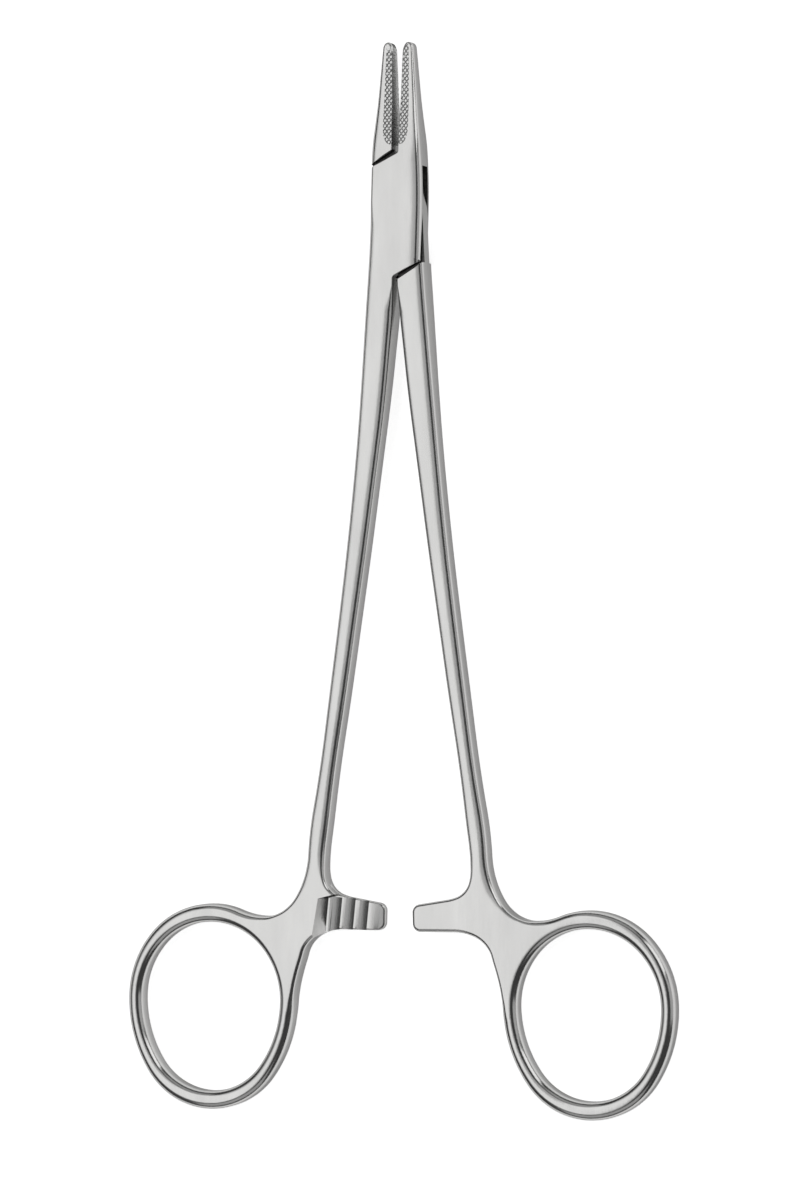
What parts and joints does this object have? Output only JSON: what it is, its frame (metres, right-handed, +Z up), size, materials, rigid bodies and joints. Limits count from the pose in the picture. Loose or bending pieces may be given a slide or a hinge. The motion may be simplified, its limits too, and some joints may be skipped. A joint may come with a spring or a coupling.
{
  "type": "surgical needle holder",
  "caption": "Steel needle holder with hatched jaw inserts, a box lock on a flush pin, slender shanks, an opening ratchet and egg-shaped finger rings.",
  "frame": {"origin": "on the axis of the lock pin, in the plane of the box lock's back plate, on which the instrument lies", "axes": "+Y along the instrument from the pin to the jaw tips, +X to the right seen from the front, +Z up through the pin, out of the front plate"},
  "size_m": [0.0964, 0.18, 0.0058],
  "materials": {
    "steel": "satin",
    "insert": "cross-hatched",
    "pin": "satin"
  },
  "bodies": {
    "box_side": {"box_half": "steel", "box_jaw_insert": "insert", "lock_pin": "pin"},
    "tenon_side": {"tenon_half": "steel", "tenon_jaw_insert": "insert"}
  },
  "joints": [
    {"name": "lock_pivot", "type": "hinge", "parent": "box_side", "child": "tenon_side", "pos_m": [0, 0, 0.0029], "axis": [0, 0, 1], "range_deg": [-3.4, 26]}
  ]
}
